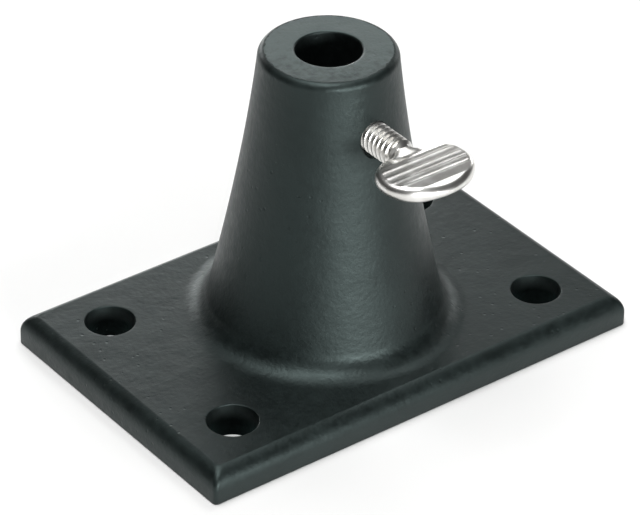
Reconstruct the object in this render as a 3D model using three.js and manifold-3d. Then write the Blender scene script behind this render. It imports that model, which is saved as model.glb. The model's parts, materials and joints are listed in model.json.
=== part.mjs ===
// Socket base for a slim post: one cast foot with a tapered socket, and the thumb screw that
// locks the post. Millimetres, +Z up. The origin is the middle of the plate's underside, on the
// socket's axis. +X runs along the plate's long side, and the thumb screw points along -Y.

import * as THREE from 'three';
import { mergeVertices } from 'three/addons/utils/BufferGeometryUtils.js';
import Module from 'manifold-3d';

const wasm = await Module();
wasm.setup();

// Plate
const PLATE_LENGTH = 101.6;
const PLATE_WIDTH = 66.4;
const PLATE_THICKNESS = 6.8;
const EDGE_RADIUS = 3.6;
const CORNER_RADIUS = 1.5;

// Mounting holes, one near each corner
const HOLE_SPACING_X = 75;
const HOLE_SPACING_Y = 41;
const HOLE_RADIUS = 5.1;
const HOLE_LIP = 0.4;

// Tapered socket, which flares into the plate
const HEIGHT = 66;
const WALL_TOP_RADIUS = 13.7;
const WALL_TOP_ANGLE = THREE.MathUtils.degToRad(6.3);
const WALL_FOOT_ANGLE = THREE.MathUtils.degToRad(13);
const RIM_RADIUS = 1.9;
const FLARE_RADIUS = 5.6;
const FOOT_RADIUS = 28.6;

// Blind bore for a post of 12.7 mm, on a solid floor
const BORE_RADIUS = 6.5;
const BORE_FLOOR = 8;
const BORE_LIP = 0.5;

// Thumb screw, 1/4 in with 20 threads to the inch, on a level axis
const SCREW_AXIS_HEIGHT = 53.6;
const THREAD_PITCH = 1.27;
const THREAD_RADIUS = 3.15;
const THREAD_ROOT_RADIUS = 2.42;
const THREAD_CLEARANCE = 0.28;
const HEAD_HALF_WIDTH = 10.1;
const HEAD_HALF_DEPTH = 7.7;
const HEAD_ROUNDNESS = 1.8;
const HEAD_THICKNESS = 3.3;
const HEAD_EDGE = 1;
const HEAD_MIDDLE = 30.3;
const NECK_LENGTH = 5;
const NECK_TIP_RADIUS = 1.3;
const SHANK_OVERLAP = 2;

// Plain turned point of the screw
const POINT_RADIUS = 2.3;
const POINT_LENGTH = 1.4;
const POINT_CHAMFER = 0.6;
const POINT_TIP = 7.8;
const POINT_GAP = 0.3;

const MARGIN = 5;
const TURN_STEPS = 60;
const HOLE_STEPS = 28;
const SCREW_STEPS = 20;
const HEAD_STEPS = 48;

const castPaint = new THREE.MeshStandardMaterial({ color: 0x34383a, roughness: 0.48, metalness: 0.1 });
const brightPlate = new THREE.MeshStandardMaterial({ color: 0xd9d9d2, roughness: 0.22, metalness: 1 });

function solid(geometry) {
  const bare = geometry.clone();
  bare.deleteAttribute('normal');
  bare.deleteAttribute('uv');
  const merged = mergeVertices(bare, 1e-4);
  return new wasm.Manifold(new wasm.Mesh({
    numProp: 3,
    vertProperties: new Float32Array(merged.attributes.position.array),
    triVerts: new Uint32Array(merged.index.array),
  }));
}

function geometryOf(body) {
  const mesh = body.getMesh();
  const geometry = new THREE.BufferGeometry();
  geometry.setAttribute('position', new THREE.BufferAttribute(mesh.vertProperties, 3));
  geometry.setIndex(new THREE.BufferAttribute(mesh.triVerts, 1));
  geometry.computeVertexNormals();
  return geometry;
}

// A profile of (radius, height) points, turned about +Z
function turned(profile, steps) {
  const geometry = new THREE.LatheGeometry(profile, steps);
  geometry.rotateX(Math.PI / 2);
  return geometry;
}

// The same, with its axis laid level and its heights counted outwards along -Y
function turnedLevel(profile, steps) {
  const geometry = new THREE.LatheGeometry(profile, steps);
  geometry.rotateX(Math.PI);
  geometry.translate(0, 0, SCREW_AXIS_HEIGHT);
  return geometry;
}

function arc(centreX, centreY, radius, fromDegrees, toDegrees, steps) {
  const from = THREE.MathUtils.degToRad(fromDegrees);
  const to = THREE.MathUtils.degToRad(toDegrees);
  const points = [];
  for (let i = 0; i <= steps; i += 1) {
    const angle = from + (to - from) * i / steps;
    points.push(new THREE.Vector2(
      centreX + radius * Math.cos(angle),
      centreY + radius * Math.sin(angle),
    ));
  }
  return points;
}

// A bar whose two long top edges are rounded over, lying along X
function roundedBar(width, length) {
  const side = width / 2;
  const shape = new THREE.Shape([
    new THREE.Vector2(-side, 0),
    new THREE.Vector2(side, 0),
    ...arc(side - EDGE_RADIUS, PLATE_THICKNESS - EDGE_RADIUS, EDGE_RADIUS, 0, 90, 8),
    ...arc(-side + EDGE_RADIUS, PLATE_THICKNESS - EDGE_RADIUS, EDGE_RADIUS, 90, 180, 8),
  ]);
  const geometry = new THREE.ExtrudeGeometry(shape, { depth: length, bevelEnabled: false });
  geometry.translate(0, 0, -length / 2);
  geometry.rotateX(Math.PI / 2);
  geometry.rotateZ(Math.PI / 2);
  return geometry;
}

// The plate's outline, with its small corner radius, as a tall block
function outlineBlock() {
  const x = PLATE_LENGTH / 2 - CORNER_RADIUS;
  const y = PLATE_WIDTH / 2 - CORNER_RADIUS;
  const shape = new THREE.Shape([
    ...arc(x, y, CORNER_RADIUS, 0, 90, 5),
    ...arc(-x, y, CORNER_RADIUS, 90, 180, 5),
    ...arc(-x, -y, CORNER_RADIUS, 180, 270, 5),
    ...arc(x, -y, CORNER_RADIUS, 270, 360, 5),
  ]);
  const depth = PLATE_THICKNESS + 2 * MARGIN;
  const geometry = new THREE.ExtrudeGeometry(shape, { depth, bevelEnabled: false });
  geometry.translate(0, 0, -MARGIN);
  return geometry;
}

// Two rounded bars crossed, so that their rounded edges meet in a mitre at each corner
function plate() {
  const lengthwise = solid(roundedBar(PLATE_WIDTH, PLATE_LENGTH + 2 * MARGIN));
  const across = solid(roundedBar(PLATE_LENGTH, PLATE_WIDTH + 2 * MARGIN).rotateZ(Math.PI / 2));
  return lengthwise.intersect(across).intersect(solid(outlineBlock()));
}

// The wall steepens from the flare at its foot to the rim in one hollow curve
function socketBlank() {
  const footX = FOOT_RADIUS - FLARE_RADIUS * Math.cos(WALL_FOOT_ANGLE);
  const footZ = PLATE_THICKNESS + FLARE_RADIUS * (1 - Math.sin(WALL_FOOT_ANGLE));
  const topZ = HEIGHT - RIM_RADIUS;
  const footSlope = Math.tan(WALL_FOOT_ANGLE);
  const topSlope = Math.tan(WALL_TOP_ANGLE);
  const bendZ = (footX + footSlope * footZ - WALL_TOP_RADIUS - topSlope * topZ) / (footSlope - topSlope);
  const bendX = WALL_TOP_RADIUS + topSlope * (topZ - bendZ);
  const wall = new THREE.QuadraticBezierCurve(
    new THREE.Vector2(footX, footZ),
    new THREE.Vector2(bendX, bendZ),
    new THREE.Vector2(WALL_TOP_RADIUS, topZ),
  );
  const foot = THREE.MathUtils.radToDeg(WALL_FOOT_ANGLE);
  const flare = arc(FOOT_RADIUS, PLATE_THICKNESS + FLARE_RADIUS, FLARE_RADIUS, 270, 180 + foot, 7);
  const rim = arc(WALL_TOP_RADIUS - RIM_RADIUS, topZ, RIM_RADIUS, 0, 90, 5);
  return turned([
    new THREE.Vector2(0, 1),
    new THREE.Vector2(FOOT_RADIUS, 1),
    ...flare.slice(0, -1),
    ...wall.getPoints(9).slice(0, -1),
    ...rim,
    new THREE.Vector2(0, HEIGHT),
  ], TURN_STEPS);
}

function boreCutter() {
  return turned([
    new THREE.Vector2(0, BORE_FLOOR),
    new THREE.Vector2(BORE_RADIUS, BORE_FLOOR),
    ...arc(BORE_RADIUS + BORE_LIP, HEIGHT - BORE_LIP, BORE_LIP, 180, 90, 3),
    new THREE.Vector2(BORE_RADIUS + BORE_LIP, HEIGHT + MARGIN),
    new THREE.Vector2(0, HEIGHT + MARGIN),
  ], TURN_STEPS);
}

function holeCutter(x, y) {
  return turned([
    new THREE.Vector2(0, -MARGIN),
    new THREE.Vector2(HOLE_RADIUS, -MARGIN),
    ...arc(HOLE_RADIUS + HOLE_LIP, PLATE_THICKNESS - HOLE_LIP, HOLE_LIP, 180, 90, 3),
    new THREE.Vector2(HOLE_RADIUS + HOLE_LIP, PLATE_THICKNESS + MARGIN),
    new THREE.Vector2(0, PLATE_THICKNESS + MARGIN),
  ], HOLE_STEPS).translate(x, y, 0);
}

function screwHoleCutter() {
  const radius = THREAD_RADIUS + THREAD_CLEARANCE;
  return turnedLevel([
    new THREE.Vector2(0, 0),
    new THREE.Vector2(radius, 0),
    new THREE.Vector2(radius, HEAD_MIDDLE),
    new THREE.Vector2(0, HEAD_MIDDLE),
  ], HOLE_STEPS);
}

function baseCasting() {
  let body = plate().add(solid(socketBlank()));
  body = body.subtract(solid(boreCutter()));
  for (const x of [-1, 1]) {
    for (const y of [-1, 1]) {
      body = body.subtract(solid(holeCutter(x * HOLE_SPACING_X / 2, y * HOLE_SPACING_Y / 2)));
    }
  }
  return geometryOf(body.subtract(solid(screwHoleCutter())));
}

// A right-hand thread about +Z. Four helical lines make its root and its crest, each with its
// rise as a share of the pitch.
function threadBlank(length) {
  const lines = [
    { radius: THREAD_ROOT_RADIUS, rise: 0 },
    { radius: THREAD_ROOT_RADIUS, rise: 0.16 },
    { radius: THREAD_RADIUS, rise: 0.5 },
    { radius: THREAD_RADIUS, rise: 0.66 },
  ];
  const lead = THREAD_PITCH;
  const turns = Math.ceil(length / lead) + 2;
  const last = turns * SCREW_STEPS;
  const positions = [];
  for (let i = 0; i <= last; i += 1) {
    const angle = 2 * Math.PI * i / SCREW_STEPS;
    for (const line of lines) {
      const z = lead * (i / SCREW_STEPS + line.rise - 1);
      positions.push(line.radius * Math.cos(angle), line.radius * Math.sin(angle), z);
    }
  }
  const count = lines.length;
  const start = positions.length / 3;
  positions.push(0, 0, -lead);
  positions.push(0, 0, lead * turns);
  const at = (i, j) => i * count + j;
  const index = [];
  const quad = (a, b, c, d) => index.push(a, b, c, a, c, d);
  for (let i = 0; i < last; i += 1) {
    for (let j = 0; j < count - 1; j += 1) {
      quad(at(i, j), at(i + 1, j), at(i + 1, j + 1), at(i, j + 1));
    }
    if (i + SCREW_STEPS < last) {
      const above = i + SCREW_STEPS;
      quad(at(i, count - 1), at(i + 1, count - 1), at(above + 1, 0), at(above, 0));
    }
  }
  // Both ends are closed by a fan from the axis to the loose lines
  for (let i = 0; i < SCREW_STEPS; i += 1) {
    index.push(start, at(i + 1, 0), at(i, 0));
    const top = last - SCREW_STEPS + i;
    index.push(start + 1, at(top, count - 1), at(top + 1, count - 1));
  }
  for (let j = 0; j < count - 1; j += 1) {
    index.push(start, at(0, j), at(0, j + 1));
    index.push(start + 1, at(last, j + 1), at(last, j));
  }
  index.push(start, at(0, count - 1), at(SCREW_STEPS, 0));
  index.push(start + 1, at(last, 0), at(last - SCREW_STEPS, count - 1));
  const geometry = new THREE.BufferGeometry();
  geometry.setAttribute('position', new THREE.Float32BufferAttribute(positions, 3));
  geometry.setIndex(index);
  return geometry;
}

// Oval grip, flat and level, with rounded rims. A roundness of 2 would make it a true ellipse.
function headBlank() {
  const reach = (share) => Math.sign(share) * Math.abs(share) ** (2 / HEAD_ROUNDNESS);
  const outline = [];
  for (let i = 0; i < HEAD_STEPS; i += 1) {
    const angle = 2 * Math.PI * i / HEAD_STEPS;
    outline.push(new THREE.Vector2(
      HEAD_HALF_WIDTH * reach(Math.cos(angle)),
      HEAD_HALF_DEPTH * reach(Math.sin(angle)),
    ));
  }
  const geometry = new THREE.ExtrudeGeometry(new THREE.Shape(outline), {
    depth: HEAD_THICKNESS - 2 * HEAD_EDGE,
    bevelThickness: HEAD_EDGE,
    bevelSize: HEAD_EDGE,
    bevelOffset: -HEAD_EDGE,
    bevelSegments: 3,
  });
  const drop = HEAD_EDGE - HEAD_THICKNESS / 2;
  return geometry.translate(0, -HEAD_MIDDLE, SCREW_AXIS_HEIGHT + drop);
}

function thumbScrew() {
  const innerEnd = POINT_TIP + POINT_LENGTH + POINT_GAP;
  const shankEnd = HEAD_MIDDLE - HEAD_HALF_DEPTH + SHANK_OVERLAP;
  const blank = threadBlank(shankEnd - innerEnd);
  blank.rotateX(Math.PI / 2);
  blank.translate(0, -innerEnd, SCREW_AXIS_HEIGHT);
  const envelope = turnedLevel([
    new THREE.Vector2(0, innerEnd),
    new THREE.Vector2(THREAD_ROOT_RADIUS, innerEnd),
    new THREE.Vector2(THREAD_RADIUS + THREAD_CLEARANCE, innerEnd + THREAD_PITCH),
    new THREE.Vector2(THREAD_RADIUS + THREAD_CLEARANCE, shankEnd - SHANK_OVERLAP),
    new THREE.Vector2(THREAD_ROOT_RADIUS, shankEnd),
    new THREE.Vector2(0, shankEnd),
  ], SCREW_STEPS * 2);
  const neck = turnedLevel([
    new THREE.Vector2(0, shankEnd - SHANK_OVERLAP),
    new THREE.Vector2(THREAD_ROOT_RADIUS, shankEnd - SHANK_OVERLAP),
    new THREE.Vector2(THREAD_ROOT_RADIUS, shankEnd),
    new THREE.Vector2(NECK_TIP_RADIUS, shankEnd + NECK_LENGTH),
    new THREE.Vector2(0, shankEnd + NECK_LENGTH),
  ], SCREW_STEPS);
  const shank = solid(blank).intersect(solid(envelope));
  return geometryOf(solid(headBlank()).add(solid(neck)).add(shank));
}

function screwPoint() {
  return turnedLevel([
    new THREE.Vector2(0, POINT_TIP),
    new THREE.Vector2(POINT_RADIUS - POINT_CHAMFER, POINT_TIP),
    new THREE.Vector2(POINT_RADIUS, POINT_TIP + POINT_CHAMFER),
    new THREE.Vector2(POINT_RADIUS, POINT_TIP + POINT_LENGTH),
    new THREE.Vector2(0, POINT_TIP + POINT_LENGTH),
  ], SCREW_STEPS * 2);
}

function piece(name, geometry, material) {
  const mesh = new THREE.Mesh(geometry, material.clone());
  mesh.name = name;
  return mesh;
}

const base = new THREE.Group();
base.add(piece('base_casting', baseCasting(), castPaint));
base.add(piece('thumb_screw', thumbScrew(), brightPlate));
base.add(piece('screw_point', screwPoint(), brightPlate));

export default base;
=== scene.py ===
import json
import math

import bpy
from mathutils import Matrix, Vector


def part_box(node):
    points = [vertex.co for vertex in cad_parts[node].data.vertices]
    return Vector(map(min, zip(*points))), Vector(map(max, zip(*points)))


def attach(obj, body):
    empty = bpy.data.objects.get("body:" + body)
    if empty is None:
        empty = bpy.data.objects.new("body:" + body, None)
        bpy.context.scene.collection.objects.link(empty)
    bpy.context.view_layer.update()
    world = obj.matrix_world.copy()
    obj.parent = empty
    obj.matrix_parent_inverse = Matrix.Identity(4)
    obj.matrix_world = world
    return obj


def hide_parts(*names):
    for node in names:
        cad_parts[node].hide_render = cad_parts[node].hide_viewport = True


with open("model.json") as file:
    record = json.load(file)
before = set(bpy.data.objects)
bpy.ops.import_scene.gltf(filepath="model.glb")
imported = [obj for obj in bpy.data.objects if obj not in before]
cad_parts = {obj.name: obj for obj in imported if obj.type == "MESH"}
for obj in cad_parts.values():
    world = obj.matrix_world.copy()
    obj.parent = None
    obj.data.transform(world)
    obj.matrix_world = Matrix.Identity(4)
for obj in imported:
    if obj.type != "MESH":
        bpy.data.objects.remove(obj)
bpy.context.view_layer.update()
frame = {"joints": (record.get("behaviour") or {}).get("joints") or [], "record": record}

MM = 0.001


# ---------------------------------------------------------------------------------------------
# Camera
# A long lens looks down at the near left corner of the plate, from in front and to the left.
# ---------------------------------------------------------------------------------------------
CAMERA_AZIMUTH = math.radians(-37.74)
CAMERA_ELEVATION = math.radians(33.89)
CAMERA_ROLL = math.radians(0.95)
CAMERA_DISTANCE = 0.762
CAMERA_AIM = Vector((-2.75, -1.90, 20.25)) * MM
CAMERA_LENS = 218.7

camera = bpy.data.objects.new("camera", bpy.data.cameras.new("camera"))
bpy.context.scene.collection.objects.link(camera)
bpy.context.scene.camera = camera
towards_camera = Vector((
    math.sin(CAMERA_AZIMUTH) * math.cos(CAMERA_ELEVATION),
    -math.cos(CAMERA_AZIMUTH) * math.cos(CAMERA_ELEVATION),
    math.sin(CAMERA_ELEVATION),
))
camera.data.lens = CAMERA_LENS
camera.data.sensor_width = 36
camera.rotation_mode = "QUATERNION"
level = (-towards_camera).to_track_quat("-Z", "Y")
camera.rotation_quaternion = level @ Matrix.Rotation(CAMERA_ROLL, 3, "Z").to_quaternion()
camera.location = CAMERA_AIM + towards_camera * CAMERA_DISTANCE
camera.data.clip_start = 0.01
camera.data.clip_end = 20


# ---------------------------------------------------------------------------------------------
# Foot casting
# A rectangular plate and a tapered socket, poured as one iron casting. The sand leaves a faint
# grain; the rim is faced flat, the bore and the holes are drilled, and all is baked black.
# ---------------------------------------------------------------------------------------------
EDGE_RADIUS = 4.1 * MM
EDGE_END_ANGLE = 69
CRISP = 0.1 * MM
CORNER_RADIUS = 0.9 * MM
UNDER_EDGE = 0.35 * MM
HOLE_UNDER_EDGE = 0.05 * MM
FLARE_RADIUS = 5.6 * MM
FOOT_RADIUS = 28.6 * MM
FOOT_ANGLE = math.radians(13)
WALL_TOP_RADIUS = 13.7 * MM
WALL_TOP_ANGLE = math.radians(6.3)
RIM_RADIUS = 1.9 * MM
RIM_END_ANGLE = 66
BORE_RADIUS = 6.5 * MM
BORE_LIP = 0.55 * MM
HOLE_RADIUS = 5.05 * MM
HOLE_DRAFT = 0.45 * MM
HOLE_LIP = 0.2 * MM
SCREW_HOLE_RADIUS = 3.3 * MM
SCREW_HOLE_LIP = 0.35 * MM
FLAT_BAND = 0.5 * MM
SOCKET_STEPS = 128
WALL_STEPS = 26
BORE_RINGS = 12
FLOOR_RINGS = 5
HOLE_STEPS = 64

casting_low, casting_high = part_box("base_casting")
record = frame["record"]
mounts = {mount["name"]: mount for mount in record["mounts"]}
plate_top = mounts["plate_top"]["pos_m"][2]
bore_floor = mounts["socket_floor"]["pos_m"][2]
rim_top = casting_high.z
hole_places = [
    (Vector(opening["box_m"][0]) + Vector(opening["box_m"][1])) / 2
    for opening in record["physics"]["openings"]
    if opening["name"].startswith("fixing_hole")
]
hinge = next(joint for joint in frame["joints"] if joint["name"] == "thumb_screw_turn")
screw_height = hinge["pos_m"][2]


def only(piece):
    """Makes one piece the selected and active one, out of edit mode."""
    if bpy.context.mode != "OBJECT":
        bpy.ops.object.mode_set(mode="OBJECT")
    bpy.ops.object.select_all(action="DESELECT")
    piece.select_set(True)
    bpy.context.view_layer.objects.active = piece


def edit(piece, level="VERT"):
    """Opens a piece in edit mode with nothing selected."""
    only(piece)
    bpy.ops.object.mode_set(mode="EDIT")
    bpy.ops.mesh.select_mode(type=level)
    bpy.ops.mesh.select_all(action="DESELECT")


def choose(piece, kind, test):
    """Selects the vertices, edges or faces of a piece, open in edit mode, that pass a test."""
    bpy.ops.mesh.select_all(action="DESELECT")
    bpy.ops.object.mode_set(mode="OBJECT")
    mesh = piece.data
    for item in getattr(mesh, kind):
        if kind == "vertices":
            item.select = test(item.co)
        elif kind == "edges":
            item.select = test(mesh.vertices[item.vertices[0]].co, mesh.vertices[item.vertices[1]].co)
        else:
            item.select = test(item)
    bpy.ops.object.mode_set(mode="EDIT")


def arc(centre_x, centre_y, radius, start, end, steps):
    """Points along an arc, from one angle to another in degrees."""
    turn = [math.radians(start + (end - start) * i / steps) for i in range(steps + 1)]
    return [(centre_x + radius * math.cos(a), centre_y + radius * math.sin(a)) for a in turn]


def drawn(name, points):
    """A thin line in the XZ plane, drawn by extruding one vertex from point to point."""
    bpy.ops.object.select_all(action="DESELECT")
    bpy.ops.mesh.primitive_plane_add(size=MM, location=(0, 0, 0))
    line = bpy.context.active_object
    line.name = name
    bpy.ops.object.mode_set(mode="EDIT")
    bpy.ops.mesh.select_mode(type="VERT")
    bpy.ops.mesh.select_all(action="SELECT")
    bpy.ops.mesh.merge(type="CENTER")
    bpy.ops.transform.translate(value=(points[0][0], 0, points[0][1]))
    for before, after in zip(points, points[1:]):
        step = (after[0] - before[0], 0, after[1] - before[1])
        bpy.ops.mesh.extrude_region_move(TRANSFORM_OT_translate={"value": step})
    return line


def spun(name, points, steps):
    """A line of (radius, height) points turned once about the upright axis."""
    shell = drawn(name, points)
    bpy.ops.mesh.select_all(action="SELECT")
    bpy.ops.mesh.spin(steps=steps, angle=2 * math.pi, center=(0, 0, 0), axis=(0, 0, 1))
    bpy.ops.mesh.select_all(action="SELECT")
    bpy.ops.mesh.remove_doubles(threshold=0.002 * MM)
    bpy.ops.object.mode_set(mode="OBJECT")
    return shell


def moved(piece, offset):
    """A copy of a piece with its own mesh, shifted in its mesh."""
    twin = piece.copy()
    twin.data = piece.data.copy()
    twin.data.transform(Matrix.Translation(offset))
    bpy.context.scene.collection.objects.link(twin)
    return twin


def joined(pieces):
    """Joins pieces into the first of them."""
    bpy.ops.object.select_all(action="DESELECT")
    for piece in pieces:
        piece.select_set(True)
    bpy.context.view_layer.objects.active = pieces[0]
    bpy.ops.object.join()
    return pieces[0]


def cut(piece, cutter, operation="DIFFERENCE"):
    """Cuts or joins a piece with another solid, which is used up."""
    only(piece)
    boolean = piece.modifiers.new("cut", "BOOLEAN")
    boolean.operation = operation
    boolean.solver = "EXACT"
    boolean.object = cutter
    bpy.ops.object.modifier_apply(modifier="cut")
    bpy.data.objects.remove(cutter)


# The plate starts as a block. Its top edges are rolled over, then its upright corners, and last
# its top is taken down a little, which leaves a crisp line where the flat meets the roll.
size = casting_high - casting_low
bpy.ops.object.select_all(action="DESELECT")
bpy.ops.mesh.primitive_cube_add(size=1, location=(0, 0, 0))
casting = bpy.context.active_object
casting.name = "foot_casting"
casting.data.transform(Matrix.Translation((0, 0, 0.5)))
block_top = plate_top + EDGE_RADIUS * (1 - math.sin(math.radians(EDGE_END_ANGLE)))
casting.data.transform(Matrix.Diagonal((size.x, size.y, block_top, 1)))
edit(casting, "EDGE")
choose(casting, "edges", lambda a, b: min(a.z, b.z) > plate_top / 2)
bpy.ops.mesh.bevel(offset=EDGE_RADIUS, segments=14, profile=0.5, affect="EDGES")


def on_mitre(a, b):
    """An edge that climbs a corner of the plate, from the ground to the start of the flat top."""
    inset = [abs(size.x / 2 - abs(p.x) - (size.y / 2 - abs(p.y))) for p in (a, b)]
    return max(inset) < 0.01 * MM and abs(a.z - b.z) > 0.001 * MM


choose(casting, "edges", on_mitre)
bpy.ops.mesh.bevel(offset=CORNER_RADIUS, segments=5, profile=0.5, affect="EDGES")
bpy.ops.mesh.select_all(action="SELECT")
bpy.ops.mesh.bisect(
    plane_co=(0, 0, plate_top),
    plane_no=(0, 0, 1),
    use_fill=True,
    clear_outer=True,
    threshold=0.001 * MM,
)
choose(casting, "edges", lambda a, b: min(a.z, b.z) > plate_top - 0.001 * MM)
bpy.ops.mesh.bevel(offset=CRISP, segments=1, affect="EDGES")
choose(casting, "edges", lambda a, b: max(a.z, b.z) < 0.001 * MM)
bpy.ops.mesh.bevel(offset=UNDER_EDGE, segments=3, profile=0.5, affect="EDGES")
bpy.ops.mesh.select_mode(type="FACE")
choose(casting, "polygons", lambda face: abs(face.normal.z) > 0.9999 and face.area > size.x * size.y / 2)
bpy.ops.mesh.inset(thickness=CRISP)
bpy.ops.mesh.inset(thickness=FLAT_BAND)
bpy.ops.mesh.delete(type="FACE")
bpy.ops.object.mode_set(mode="OBJECT")

# The socket is one turned skin: flare, hollow wall, rolled rim, faced rim, bore and bore floor.
foot_x = FOOT_RADIUS - FLARE_RADIUS * math.cos(FOOT_ANGLE)
foot_z = plate_top + FLARE_RADIUS * (1 - math.sin(FOOT_ANGLE))
rim_end = math.radians(RIM_END_ANGLE)
wall_top = rim_top - RIM_RADIUS * math.sin(rim_end)
rim_flat = WALL_TOP_RADIUS - RIM_RADIUS * (1 - math.cos(rim_end))
foot_slope = math.tan(FOOT_ANGLE)
top_slope = math.tan(WALL_TOP_ANGLE)
bend_z = (foot_x + foot_slope * foot_z - WALL_TOP_RADIUS - top_slope * wall_top) / (foot_slope - top_slope)
bend_x = WALL_TOP_RADIUS + top_slope * (wall_top - bend_z)


def wall_point(t):
    """A point on the hollow wall, from the flare at 0 to the rim at 1."""
    low, middle, high = (1 - t) ** 2, 2 * t * (1 - t), t ** 2
    return (
        low * foot_x + middle * bend_x + high * WALL_TOP_RADIUS,
        low * foot_z + middle * bend_z + high * wall_top,
    )


socket_line = [(FOOT_RADIUS + FLAT_BAND, plate_top)]
socket_line += arc(FOOT_RADIUS, plate_top + FLARE_RADIUS, FLARE_RADIUS, 270, 193, 18)[:-1]
socket_line += [wall_point(i / WALL_STEPS) for i in range(WALL_STEPS)]
socket_line += arc(WALL_TOP_RADIUS - RIM_RADIUS, wall_top, RIM_RADIUS, 0, RIM_END_ANGLE - 3, 9)
socket_line += [(rim_flat - 0.4 * CRISP, rim_top), (rim_flat - 1.4 * CRISP, rim_top)]
socket_line += [(rim_flat - FLAT_BAND, rim_top)]
socket_line += [(BORE_RADIUS + BORE_LIP + FLAT_BAND, rim_top)]
socket_line += arc(BORE_RADIUS + BORE_LIP, rim_top - BORE_LIP, BORE_LIP, 90, 180, 6)
bore_top = rim_top - BORE_LIP
bore_steps = [bore_top - (bore_top - bore_floor) * i / BORE_RINGS for i in range(1, BORE_RINGS + 1)]
socket_line += [(BORE_RADIUS, height) for height in bore_steps]
socket_line += [(BORE_RADIUS * (1 - i / FLOOR_RINGS), bore_floor) for i in range(1, FLOOR_RINGS + 1)]
socket = spun("socket", socket_line, SOCKET_STEPS)

# Each fixing hole is a turned skin too, a little narrower below, with a softened lip above.
hole_line = [(HOLE_RADIUS + HOLE_LIP + FLAT_BAND, plate_top)]
hole_line += arc(HOLE_RADIUS + HOLE_LIP, plate_top - HOLE_LIP, HOLE_LIP, 90, 180, 6)
hole_line += [(HOLE_RADIUS - HOLE_DRAFT, HOLE_UNDER_EDGE)]
hole_line += [(HOLE_RADIUS - HOLE_DRAFT + HOLE_UNDER_EDGE, 0), (HOLE_RADIUS + FLAT_BAND, 0)]
hole = spun("hole", hole_line, HOLE_STEPS)
holes = [moved(hole, (place.x, place.y, 0)) for place in hole_places]
bpy.data.objects.remove(hole)

# The flat skins above and below are filled in between the open rings.
casting = joined([casting, socket, *holes])
for height in (plate_top, 0):
    edit(casting, "EDGE")
    bpy.ops.mesh.select_non_manifold(extend=False, use_wire=False, use_multi_face=False)
    bpy.ops.object.mode_set(mode="OBJECT")
    rings = [edge.select for edge in casting.data.edges]
    bpy.ops.object.mode_set(mode="EDIT")
    bpy.ops.mesh.select_all(action="DESELECT")
    bpy.ops.object.mode_set(mode="OBJECT")
    for edge, on_ring in zip(casting.data.edges, rings):
        ends = [casting.data.vertices[v].co.z for v in edge.vertices]
        edge.select = on_ring and max(abs(z - height) for z in ends) < 0.01 * MM
    bpy.ops.object.mode_set(mode="EDIT")
    bpy.ops.mesh.fill(use_beauty=True)
bpy.ops.mesh.select_all(action="SELECT")
bpy.ops.mesh.remove_doubles(threshold=0.002 * MM)
bpy.ops.mesh.normals_make_consistent(inside=False)
bpy.ops.object.mode_set(mode="OBJECT")

# The screw's hole is drilled level through the wall, with its mouth just broken.
wall_at_screw = min(
    (abs(wall_point(i / 200)[1] - screw_height), wall_point(i / 200)[0]) for i in range(201)
)[1]
drill = spun("drill", [
    (0, 2 * MM),
    (SCREW_HOLE_RADIUS, 2 * MM),
    (SCREW_HOLE_RADIUS, wall_at_screw - SCREW_HOLE_LIP),
    (SCREW_HOLE_RADIUS + 6 * SCREW_HOLE_LIP, wall_at_screw + 5 * SCREW_HOLE_LIP),
    (0, wall_at_screw + 5 * SCREW_HOLE_LIP),
], HOLE_STEPS)
drill.data.transform(Matrix.Rotation(math.radians(90), 4, "X"))
drill.data.transform(Matrix.Translation((0, 0, screw_height)))
edit(drill)
bpy.ops.mesh.select_all(action="SELECT")
bpy.ops.mesh.normals_make_consistent(inside=False)
bpy.ops.object.mode_set(mode="OBJECT")
cut(casting, drill)
only(casting)
bpy.ops.object.shade_smooth_by_angle(angle=math.radians(32))


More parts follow.
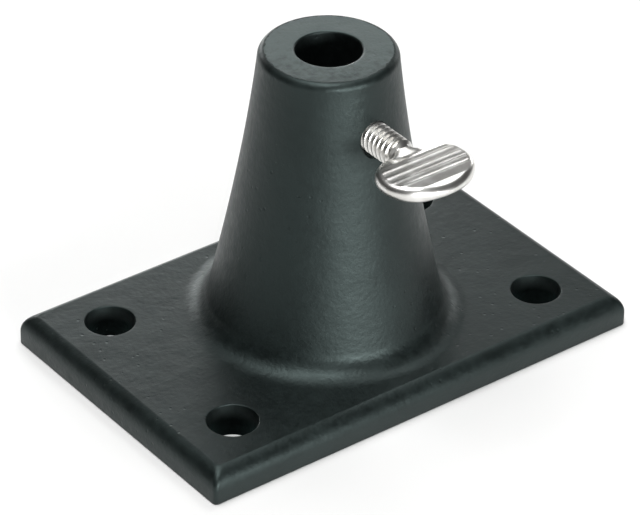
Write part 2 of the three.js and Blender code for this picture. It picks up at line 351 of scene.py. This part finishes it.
class Wire:
    """One value in a material's nodes. Sums written on it add Math nodes."""

    def __init__(self, tree, socket):
        self.tree = tree
        self.socket = socket

    def node(self, kind, settings=None, sockets=None, output=0):
        """Adds a node, applies its settings, fills its sockets and returns one output."""
        made = self.tree.nodes.new(kind)
        for name, value in (settings or {}).items():
            setattr(made, name, value)
        for name, value in (sockets or {}).items():
            if isinstance(value, Wire):
                self.tree.links.new(value.socket, made.inputs[name])
            else:
                made.inputs[name].default_value = value
        return Wire(self.tree, made.outputs[output])

    def math(self, operation, other=0.0):
        return self.node("ShaderNodeMath", {"operation": operation}, {0: self, 1: other})

    def __add__(self, other):
        return self.math("ADD", other)

    def __radd__(self, other):
        return self.math("ADD", other)

    def __sub__(self, other):
        return self.math("SUBTRACT", other)

    def __rsub__(self, other):
        return self.node("ShaderNodeMath", {"operation": "SUBTRACT"}, {0: other, 1: self})

    def __mul__(self, other):
        return self.math("MULTIPLY", other)

    def __rmul__(self, other):
        return self.math("MULTIPLY", other)

    def __truediv__(self, other):
        return self.math("DIVIDE", other)

    def between(self, low, high):
        """0 below the first value, 1 above the second, and smooth in between."""
        return self.node(
            "ShaderNodeMapRange",
            {"interpolation_type": "SMOOTHSTEP"},
            {"Value": self, "From Min": low, "From Max": high},
        )

    def noise(self, scale, detail=2.0, roughness=0.5):
        """Cloudy noise at a point, with that many features to the metre."""
        sockets = {"Vector": self, "Scale": scale, "Detail": detail, "Roughness": roughness}
        return self.node("ShaderNodeTexNoise", None, sockets)

    def tint(self, plain, other):
        """A colour that goes from one to the other as this value goes from 0 to 1."""
        sockets = {0: self}
        for name, colour in ((6, plain), (7, other)):
            sockets[name] = colour if isinstance(colour, Wire) else (*colour, 1)
        return self.node("ShaderNodeMix", {"data_type": "RGBA"}, sockets, 2)

    def bump(self, distance, under=None):
        """A bump of that height, laid over another one if there is one."""
        sockets = {"Height": self, "Distance": distance}
        if under:
            sockets["Normal"] = under
        return self.node("ShaderNodeBump", None, sockets)

    def feeds(self, shader, name):
        self.tree.links.new(self.socket, shader.inputs[name])


def new_finish(name):
    """A plain finish: the material, its shader, and the place on the piece in metres."""
    finish = bpy.data.materials.new(name)
    finish.use_nodes = True
    shader = finish.node_tree.nodes["Principled BSDF"]
    place = finish.node_tree.nodes.new("ShaderNodeTexCoord").outputs["Object"]
    return finish, shader, Wire(finish.node_tree, place)


def black_paint():
    """Baked satin black over a cast skin, paler on the faced rim with a painted highlight towards its
    back, and painted shade in the bore and low in the drilled holes.
    """
    finish, shader, place = new_finish("black_paint")
    axes = [place.node("ShaderNodeSeparateXYZ", None, {0: place}, i) for i in range(3)]
    radius = (axes[0] * axes[0] + axes[1] * axes[1]).math("SQRT")
    faced = axes[2].between(rim_top - 0.12 * MM, rim_top - 0.04 * MM)
    # Painted shade: a mask over the bore's wall, which is darkened there as in a deep recess.
    inside = (1 - radius.between(BORE_RADIUS, BORE_RADIUS + 0.1 * MM)) * axes[2].between(7 * MM, 8 * MM)
    # Painted highlight: a mask that grows towards the back, away from the camera, to lighten the faced rim
    # there.
    painted_highlight_behind = ((axes[0] * 0.6 + axes[1] * 0.8) / (12 * MM)).between(-1, 0.6)
    across = [axes[i].math("ABSOLUTE") - abs(hole_places[0][i]) for i in range(2)]
    drilled = 1 - (across[0] * across[0] + across[1] * across[1]).math("SQRT").between(
        HOLE_RADIUS + 0.02 * MM, HOLE_RADIUS + 0.12 * MM)
    # Painted shade: low in the fixing holes the wall becomes a near-black metal, which takes away its
    # reflections where shade falls.
    painted_hole_shade = drilled * (1 - axes[2].between(3.2 * MM, 5.8 * MM))

    clouds = place.noise(90, 3)
    mottle = place.noise(620, 5, 0.62)
    peel = place.noise(1250, 3, 0.5)
    grain = place.noise(3000, 2, 0.5)
    swell = place.noise(150, 2)
    specks = place.node("ShaderNodeTexVoronoi", None, {"Vector": place, "Scale": 420})
    dust = (1 - specks.between(0.03, 0.08)) * place.noise(60, 1).between(0.54, 0.6)
    pits = (1 - specks.between(0.05, 0.18)) * place.noise(48, 1).between(0.5, 0.6)
    chipped = radius + mottle * (1.4 * MM) - clouds * (0.5 * MM)
    faced = faced * (1 - chipped.between(rim_flat + 0.12 * MM, rim_flat + 0.32 * MM))

    shade = (0.45 * clouds + 0.55 * mottle).between(0.34, 0.66)
    paint = shade.tint((0.0005, 0.0012, 0.0012), (0.0038, 0.0060, 0.0058))
    # The faced rim's top is made paler, and paler still towards the back as a painted highlight, with
    # random mottle.
    paint = (faced * (0.72 + 0.45 * painted_highlight_behind + 2.2 * (mottle - 0.5))).tint(paint, (0.075, 0.092, 0.09))
    # Painted shade: the bore's wall is darkened.
    paint = (0.55 * inside).tint(paint, (0.002, 0.002, 0.002))
    paint = (0.3 * dust).tint(paint, (0.06, 0.065, 0.062))
    paint.feeds(shader, "Base Color")
    # Painted shade low in the fixing holes, given as a near-black metal.
    (painted_hole_shade * 0.95).feeds(shader, "Metallic")

    rough = 0.28 + 0.26 * mottle + 0.10 * clouds
    rough.feeds(shader, "Roughness")
    shader.inputs["Specular Tint"].default_value = (0.78, 1.0, 0.975, 1)

    relief = swell.bump(0.16 * MM)
    relief = mottle.bump(0.05 * MM, relief)
    relief = peel.bump(0.04 * MM, relief)
    relief = grain.bump(0.008 * MM, relief)
    relief = (pits * -1.0).bump(0.06 * MM, relief)
    relief.feeds(shader, "Normal")
    return finish


casting.data.materials.clear()
casting.data.materials.append(black_paint())
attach(casting, "base")
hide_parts("base_casting")


# ---------------------------------------------------------------------------------------------
# Thumb screw
# One forging: a rolled quarter-inch thread, and a grip hammered flat into an oval with straight
# ribs across it, all bright nickel plated. It screws level into the socket's wall.
# ---------------------------------------------------------------------------------------------
THREAD_PITCH = 1.27 * MM
THREAD_RADIUS = 3.15 * MM
THREAD_ROOT = 2.45 * MM
THREAD_STEPS = 48
THREAD_POINTS = 10
THREAD_STEEPNESS = 0.68
GRIP_HALF_WIDTH = 10.1 * MM
GRIP_HALF_DEPTH = 7.7 * MM
GRIP_HALF_THICKNESS = 1.65 * MM
GRIP_ROUNDNESS = 1.95
GRIP_INNER_ROUNDNESS = 2.3
GRIP_RIM = 0.15
GRIP_NET = 140
RIB_PLACES = [2.7 * MM, 0.8 * MM, -1.1 * MM, -3.0 * MM]
RIB_HEIGHT = 0.08 * MM
RIB_WIDTH = 0.42 * MM
OUTER_SLOPE = -5.6 * MM
OUTER_DROP = 0.65 * MM
INNER_SLOPE = 3.9 * MM
INNER_DROP = 0.95 * MM
DISH_DEPTH = 0.12 * MM
NECK_RADIUS = 2.35 * MM
NECK_LENGTH = 3.6 * MM
NECK_SPREAD = 4.5 * MM
NECK_BLEND = 0.3 * MM

screw_low, screw_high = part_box("thumb_screw")
grip_middle = screw_low.y + GRIP_HALF_DEPTH
grip_start = grip_middle + GRIP_HALF_DEPTH
shank_tip = screw_high.y
shank_end = grip_start - 0.9 * MM

# One turn of thread is drawn, wound up by a screw, and sawn off square at both ends.
thread_turns = math.ceil((shank_tip - shank_end) / THREAD_PITCH) + 3
depth = THREAD_RADIUS - THREAD_ROOT
thread_line = []
for i in range(THREAD_POINTS + 1):
    share = i / THREAD_POINTS
    lift = min(1, max(0, 0.5 - THREAD_STEEPNESS * math.cos(2 * math.pi * share)))
    thread_line.append((THREAD_ROOT + depth * lift, THREAD_PITCH * share))
shank = drawn("shank", thread_line)
bpy.ops.object.mode_set(mode="OBJECT")
winding = shank.modifiers.new("winding", "SCREW")
winding.angle = 2 * math.pi
winding.screw_offset = THREAD_PITCH
winding.iterations = thread_turns
winding.steps = THREAD_STEPS
winding.render_steps = THREAD_STEPS
winding.use_merge_vertices = True
winding.merge_threshold = 0.005 * MM
only(shank)
bpy.ops.object.modifier_apply(modifier="winding")
edit(shank)
bpy.ops.mesh.select_all(action="SELECT")
bpy.ops.mesh.remove_doubles(threshold=0.003 * MM)
bpy.ops.object.mode_set(mode="OBJECT")
shank.data.transform(Matrix.Translation((0, 0, -1.5 * THREAD_PITCH)))
shank.data.transform(Matrix.Rotation(math.radians(90), 4, "X"))
shank.data.transform(Matrix.Translation((0, shank_tip, screw_height)))
for place, outer in ((shank_tip, True), (shank_end, False)):
    edit(shank)
    bpy.ops.mesh.select_all(action="SELECT")
    bpy.ops.mesh.bisect(
        plane_co=(0, place, screw_height),
        plane_no=(0, 1, 0),
        use_fill=True,
        clear_outer=outer,
        clear_inner=not outer,
        threshold=0.001 * MM,
    )
bpy.ops.mesh.select_all(action="SELECT")
bpy.ops.mesh.remove_doubles(threshold=0.003 * MM)
bpy.ops.mesh.normals_make_consistent(inside=False)
bpy.ops.object.mode_set(mode="OBJECT")

# The thread runs out to its root at the point and just short of the grip.
for vertex in shank.data.vertices:
    out = Vector((vertex.co.x, 0, vertex.co.z - screw_height))
    from_tip = shank_tip - vertex.co.y
    from_grip = vertex.co.y - (grip_start - 0.4 * MM)
    limit = THREAD_ROOT + min(0.9 * from_tip - 0.15 * MM, 0.9 * from_grip)
    if out.length > limit:
        out *= limit / out.length
        vertex.co.x = out.x
        vertex.co.z = screw_height + out.z

# The grip is two fine round nets, pressed into the oval and welded at the rim.


def smooth(value):
    """0 below nothing, 1 above one, and an even ease in between."""
    value = max(0, min(1, value))
    return value * value * (3 - 2 * value)


def grip_height(x, y):
    """Half the grip's thickness at a place, with x and y measured from its middle."""
    roundness = GRIP_ROUNDNESS if y < 0 else GRIP_INNER_ROUNDNESS
    share_x = (abs(x) / GRIP_HALF_WIDTH) ** roundness
    share_y = (abs(y) / GRIP_HALF_DEPTH) ** roundness
    ring = min(1, (share_x + share_y) ** (1 / roundness))
    past_rim = max(0, ring - (1 - GRIP_RIM)) / GRIP_RIM
    rim = math.sqrt(max(0, 1 - past_rim ** 2.2))
    outer = max(0, OUTER_SLOPE - y) / (GRIP_HALF_DEPTH + OUTER_SLOPE)
    inner = max(0, y - INNER_SLOPE) / (GRIP_HALF_DEPTH - INNER_SLOPE)
    height = GRIP_HALF_THICKNESS - OUTER_DROP * outer ** 1.1 - INNER_DROP * inner ** 1.1
    height -= DISH_DEPTH * smooth((2 * MM - abs(y + 0.6 * MM)) / (4 * MM) + 0.5)
    rib_room = smooth((0.93 - ring) / 0.08)
    for place in RIB_PLACES:
        height += RIB_HEIGHT * rib_room * math.exp(-((y - place) / RIB_WIDTH) ** 2)
    height *= rim
    into = (GRIP_HALF_DEPTH - y) / NECK_LENGTH
    if into < 1:
        reach = NECK_RADIUS + NECK_SPREAD * smooth(into)
        rise = NECK_RADIUS - (NECK_RADIUS - 0.7 * GRIP_HALF_THICKNESS) * into
        swell = rise * math.sqrt(max(0, 1 - (x / reach) ** 2))
        share = max(0, min(1, 0.5 + 0.5 * (swell - height) / NECK_BLEND))
        height = swell * share + height * (1 - share) + NECK_BLEND * share * (1 - share)
    return max(0, height)


bpy.ops.object.select_all(action="DESELECT")
bpy.ops.mesh.primitive_grid_add(x_subdivisions=GRIP_NET, y_subdivisions=GRIP_NET, size=2)
grip = bpy.context.active_object
grip.name = "thumb_screw_forging"


def pressed(net, side):
    """Maps a square net onto one face of the grip, with its rings drawn in towards the rim."""
    for vertex in net.data.vertices:
        u, v = vertex.co.x, vertex.co.y
        square = max(abs(u), abs(v))
        if square > 0:
            ring = 1 - (1 - square) ** 1.4
            round_u = u * math.sqrt(1 - v * v / 2)
            round_v = v * math.sqrt(1 - u * u / 2)
            length = math.hypot(round_u, round_v)
            roundness = GRIP_ROUNDNESS if v < 0 else GRIP_INNER_ROUNDNESS
            reach = [abs(c / length) ** (2 / roundness) for c in (round_u, round_v)]
            u = math.copysign(ring * reach[0], round_u)
            v = math.copysign(ring * reach[1], round_v)
        x, y = u * GRIP_HALF_WIDTH, v * GRIP_HALF_DEPTH
        rise = 0 if square > 0.9999 else grip_height(x, y)
        vertex.co = Vector((x, y + grip_middle, screw_height + side * rise))


lower = moved(grip, (0, 0, 0))
pressed(grip, 1)
pressed(lower, -1)
grip = joined([grip, lower])
edit(grip)
bpy.ops.mesh.select_all(action="SELECT")
bpy.ops.mesh.remove_doubles(threshold=0.003 * MM)
bpy.ops.mesh.normals_make_consistent(inside=False)
bpy.ops.object.mode_set(mode="OBJECT")
cut(grip, shank, "UNION")
only(grip)
bpy.ops.object.shade_smooth_by_angle(angle=math.radians(40))


def bright_nickel():
    """Barrel-plated nickel: bright, with fine handling marks and duller cloudy patches."""
    finish, shader, place = new_finish("bright_nickel")
    clouds = place.noise(260, 3)
    streaks = place.node("ShaderNodeMapping", None, {"Vector": place, "Scale": (0.12, 1, 1)})
    brushed = streaks.noise(5200, 3, 0.6)
    marks = place.noise(2300, 4, 0.65)
    tone = clouds.between(0.35, 0.65)
    tone.tint((0.70, 0.69, 0.66), (0.84, 0.835, 0.81)).feeds(shader, "Base Color")
    shader.inputs["Metallic"].default_value = 1.0
    (0.20 + 0.16 * brushed + 0.08 * clouds).feeds(shader, "Roughness")
    relief = marks.bump(0.010 * MM)
    relief = brushed.bump(0.004 * MM, relief)
    relief.feeds(shader, "Normal")
    return finish


nickel = bright_nickel()
grip.data.materials.clear()
grip.data.materials.append(nickel)
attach(grip, "screw_turn")
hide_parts("thumb_screw")


# ---------------------------------------------------------------------------------------------
# Screw point
# The plain turned end of the thumb screw, which bears on the post. It is bare of thread, with a
# broken edge, and slides in and out of the bore's wall as the screw is turned.
# ---------------------------------------------------------------------------------------------
POINT_CHAMFER = 0.6 * MM
POINT_RINGS = 5
POINT_START_EDGE = 0.1 * MM

point_low, point_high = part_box("screw_point")
point_radius = (point_high.x - point_low.x) / 2
point_length = point_high.y - point_low.y
point_line = [(0, 0), (point_radius - POINT_START_EDGE, 0)]
point_line += [(point_radius, POINT_START_EDGE)]
point_line += arc(point_radius - POINT_CHAMFER, point_length - POINT_CHAMFER, POINT_CHAMFER, 0, 70, 7)
chamfer_end = point_line[-1]
crown = point_length - chamfer_end[1]
for i in range(1, POINT_RINGS + 1):
    share = 1 - i / POINT_RINGS
    point_line.append((chamfer_end[0] * share, chamfer_end[1] + crown * (1 - share ** 2)))
point = spun("screw_point_turned", point_line, 64)
point.data.transform(Matrix.Rotation(math.radians(-90), 4, "X"))
point.data.transform(Matrix.Translation((0, point_low.y, screw_height)))
edit(point)
bpy.ops.mesh.select_all(action="SELECT")
bpy.ops.mesh.normals_make_consistent(inside=False)
bpy.ops.object.mode_set(mode="OBJECT")
only(point)
bpy.ops.object.shade_smooth_by_angle(angle=math.radians(40))
point.data.materials.clear()
point.data.materials.append(nickel)
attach(point, "screw_travel")
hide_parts("screw_point")


# ---------------------------------------------------------------------------------------------
# Studio
# A plain pale floor in a dim room. Three soft lamps hang overhead, a wide low one stands in front,
# two low ones stand close behind, and a large faint one lights the grip from the back.
# ---------------------------------------------------------------------------------------------
ROOM_BRIGHTNESS = 0.03

bpy.ops.object.select_all(action="DESELECT")
bpy.ops.mesh.primitive_plane_add(size=6, location=(0, 0, 0))
floor = bpy.context.active_object
floor.name = "floor"
floor_finish, floor_shader, floor_place = new_finish("pale_floor")
floor_shade = floor_place.noise(6, 2)
floor_shade.tint((0.86, 0.86, 0.855), (0.90, 0.90, 0.895)).feeds(floor_shader, "Base Color")
floor_shader.inputs["Roughness"].default_value = 0.8
floor.data.materials.append(floor_finish)

world = bpy.data.worlds.new("room")
world.use_nodes = True
world.node_tree.nodes["Background"].inputs["Color"].default_value = (1, 1, 1, 1)
world.node_tree.nodes["Background"].inputs["Strength"].default_value = ROOM_BRIGHTNESS
bpy.context.scene.world = world


def soft_light(name, azimuth, elevation, distance, width, depth, power):
    """A rectangular lamp that looks at the middle of the socket."""
    lamp = bpy.data.objects.new(name, bpy.data.lights.new(name, "AREA"))
    lamp.data.shape = "RECTANGLE"
    lamp.data.size = width
    lamp.data.size_y = depth
    lamp.data.energy = power
    a, e = math.radians(azimuth), math.radians(elevation)
    away = Vector((math.sin(a) * math.cos(e), -math.cos(a) * math.cos(e), math.sin(e)))
    lamp.location = Vector((0, 0, rim_top / 2)) + away * distance
    lamp.rotation_mode = "QUATERNION"
    lamp.rotation_quaternion = (-away).to_track_quat("-Z", "Y")
    bpy.context.scene.collection.objects.link(lamp)
    return lamp


soft_light("overhead_front", -38, 70, 0.9, 0.35, 0.3, 4.4)
soft_light("overhead_right", 110, 62, 0.9, 0.45, 0.3, 1.7)
soft_light("overhead_left", 235, 76, 0.9, 0.55, 0.5, 3.0)
soft_light("low_front", -8, 7, 0.9, 0.7, 0.24, 8.0)
soft_light("low_back", 159, 10, 0.45, 0.38, 0.1, 0.88)
soft_light("low_back_right", 110, 9, 0.5, 0.2, 0.1, 0.28)
soft_light("back_card", 138, 36, 0.9, 0.9, 0.45, 0.1)
bpy.context.scene.view_settings.view_transform = "Standard"
